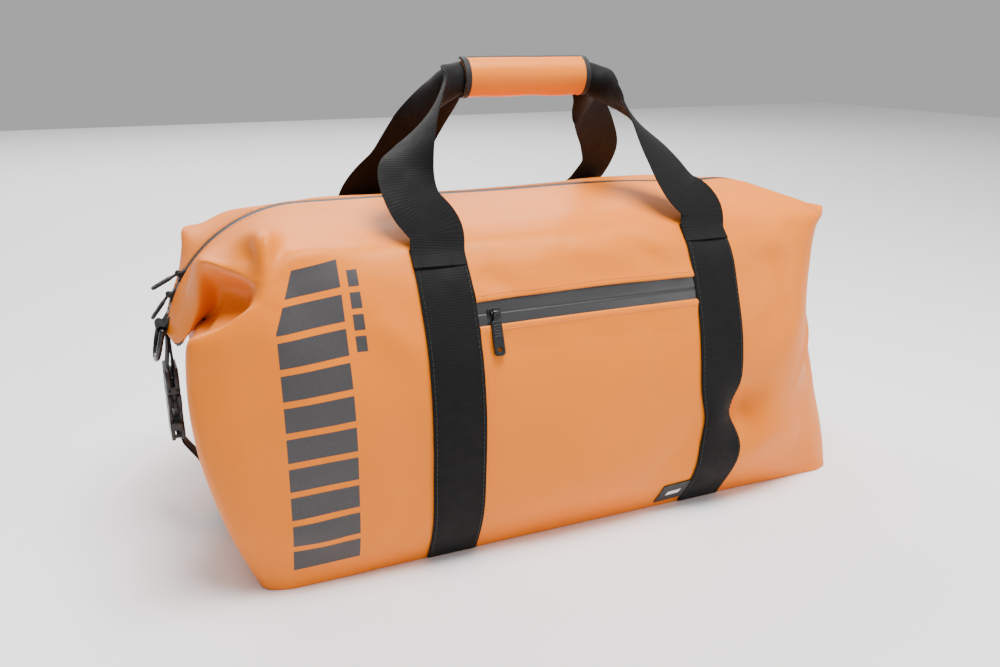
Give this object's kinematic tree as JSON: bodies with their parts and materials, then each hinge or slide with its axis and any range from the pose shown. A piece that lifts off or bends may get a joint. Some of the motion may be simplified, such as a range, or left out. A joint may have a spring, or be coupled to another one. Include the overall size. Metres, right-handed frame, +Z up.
{
  "type": "duffel bag",
  "caption": "Soft weekender duffel in coated fabric with folded ends, a top zip, a front zip pocket, webbing carry handles and end buckles.",
  "frame": {"origin": "bottom centre of the base, on the surface that the bag stands on", "axes": "+X along the long side, -Y out of the pocket side, +Z up"},
  "size_m": [0.6584, 0.3077, 0.3893],
  "materials": {
    "coated_fabric": "satin",
    "grip_fabric": "satin",
    "board": "matte",
    "zip_tape": "matte",
    "zip_metal": "satin",
    "ring_metal": "gloss",
    "lining": "matte",
    "webbing": "matte",
    "buckle_plastic": "satin",
    "print": "satin",
    "label": "matte"
  },
  "bodies": {
    "bag": {"base_panel": "coated_fabric", "base_board": "board", "front_panel": "coated_fabric", "back_panel": "coated_fabric", "front_top_panel": "coated_fabric", "back_top_panel": "coated_fabric", "left_ear": "coated_fabric", "right_ear": "coated_fabric", "end_zip_tapes": "zip_tape", "zip_end_stops": "zip_metal", "pocket_bag": "lining", "pocket_zip_upper_tape": "zip_tape", "pocket_zip_lower_tape": "zip_tape", "front_left_strap": "webbing", "front_right_strap": "webbing", "back_left_strap": "webbing", "back_right_strap": "webbing", "handle_roots": "webbing", "printed_graphic": "print", "side_label": "label", "left_ring_tab": "webbing", "right_ring_tab": "webbing", "left_upper_webbing": "webbing", "right_upper_webbing": "webbing", "left_buckle_plug": "buckle_plastic", "right_buckle_plug": "buckle_plastic", "left_lower_webbing": "webbing", "right_lower_webbing": "webbing"},
    "front_mouth": {"front_mouth_flap": "coated_fabric", "front_zip_tape": "zip_tape"},
    "back_mouth": {"back_mouth_flap": "coated_fabric", "back_zip_tape": "zip_tape"},
    "handles": {"front_handle": "webbing", "back_handle": "webbing", "grip_wrap": "grip_fabric"},
    "grip_flap": {"grip_flap": "grip_fabric"},
    "upper_slider": {"upper_slider": "zip_metal"},
    "upper_puller": {"upper_puller": "zip_metal"},
    "lower_slider": {"lower_slider": "zip_metal"},
    "lower_puller": {"lower_puller": "zip_metal"},
    "pocket_slider": {"pocket_slider": "zip_metal"},
    "pocket_puller": {"pocket_puller": "zip_metal"},
    "left_ring": {"left_ring": "ring_metal"},
    "right_ring": {"right_ring": "ring_metal"},
    "left_socket": {"left_buckle_socket": "buckle_plastic"},
    "right_socket": {"right_buckle_socket": "buckle_plastic"},
    "left_front_prong": {"left_front_prong": "buckle_plastic"},
    "left_back_prong": {"left_back_prong": "buckle_plastic"},
    "right_front_prong": {"right_front_prong": "buckle_plastic"},
    "right_back_prong": {"right_back_prong": "buckle_plastic"}
  },
  "joints": [
    {"name": "front_mouth_open", "type": "hinge", "parent": "bag", "child": "front_mouth", "pos_m": [0, -0.1206, 0.2403], "axis": [1, 0, 0], "range_deg": [0, 29]},
    {"name": "back_mouth_open", "type": "hinge", "parent": "bag", "child": "back_mouth", "pos_m": [0, 0.1206, 0.2403], "axis": [-1, 0, 0], "range_deg": [0, 20]},
    {"name": "handles_sway", "type": "hinge", "parent": "bag", "child": "handles", "pos_m": [0, 0, 0.25], "axis": [1, 0, 0], "range_deg": [-6, 10], "stiffness_Nm_per_rad": 2, "deforming": ["handle_roots"]},
    {"name": "grip_flap_peel", "type": "hinge", "parent": "handles", "child": "grip_flap", "pos_m": [0, 0.00142, 0.3558], "axis": [1, 0, 0], "range_deg": [0, 70]},
    {"name": "upper_slider_travel", "type": "hinge", "parent": "bag", "child": "upper_slider", "pos_m": [-0.203, 0, 0.16], "axis": [0, 1, 0], "range_deg": [-1.5, 54]},
    {"name": "lower_slider_travel", "type": "hinge", "parent": "bag", "child": "lower_slider", "pos_m": [-0.203, 0, 0.16], "axis": [0, 1, 0], "range_deg": [-1.5, 3]},
    {"name": "upper_puller_swing", "type": "hinge", "parent": "upper_slider", "child": "upper_puller", "pos_m": [-0.30272, 0, 0.22476], "axis": [0, 1, 0], "range_deg": [-8, 120]},
    {"name": "lower_puller_swing", "type": "hinge", "parent": "lower_slider", "child": "lower_puller", "pos_m": [-0.31162, 0, 0.20836], "axis": [0, 1, 0], "range_deg": [-5, 60]},
    {"name": "pocket_slider_travel", "type": "slide", "parent": "bag", "child": "pocket_slider", "axis": [1, 0, 0], "range_m": [0, 0.175]},
    {"name": "pocket_puller_swing", "type": "hinge", "parent": "pocket_slider", "child": "pocket_puller", "pos_m": [-0.088, -0.14219, 0.2047], "axis": [-1, 0, 0], "range_deg": [0, 170]},
    {"name": "left_ring_swing", "type": "hinge", "parent": "bag", "child": "left_ring", "pos_m": [-0.3205, 0, 0.182], "axis": [0, 1, 0], "range_deg": [-12, 100]},
    {"name": "right_ring_swing", "type": "hinge", "parent": "bag", "child": "right_ring", "pos_m": [0.3205, 0, 0.182], "axis": [0, 1, 0], "range_deg": [-100, 12]},
    {"name": "left_buckle_release", "type": "slide", "parent": "bag", "child": "left_socket", "axis": [0, 0, -1], "range_m": [0, 0.028], "deforming": ["left_lower_webbing"]},
    {"name": "left_front_prong_press", "type": "hinge", "parent": "bag", "child": "left_front_prong", "pos_m": [-0.317, -0.01, 0.1278], "axis": [1, 0, 0], "range_deg": [0, 6], "stiffness_Nm_per_rad": 0.05},
    {"name": "left_back_prong_press", "type": "hinge", "parent": "bag", "child": "left_back_prong", "pos_m": [-0.317, 0.01, 0.1278], "axis": [1, 0, 0], "range_deg": [-6, 0], "stiffness_Nm_per_rad": 0.05},
    {"name": "right_buckle_release", "type": "slide", "parent": "bag", "child": "right_socket", "axis": [0, 0, -1], "range_m": [0, 0.028], "deforming": ["right_lower_webbing"]},
    {"name": "right_front_prong_press", "type": "hinge", "parent": "bag", "child": "right_front_prong", "pos_m": [0.317, -0.01, 0.1278], "axis": [1, 0, 0], "range_deg": [0, 6], "stiffness_Nm_per_rad": 0.05},
    {"name": "right_back_prong_press", "type": "hinge", "parent": "bag", "child": "right_back_prong", "pos_m": [0.317, 0.01, 0.1278], "axis": [1, 0, 0], "range_deg": [-6, 0], "stiffness_Nm_per_rad": 0.05}
  ]
}
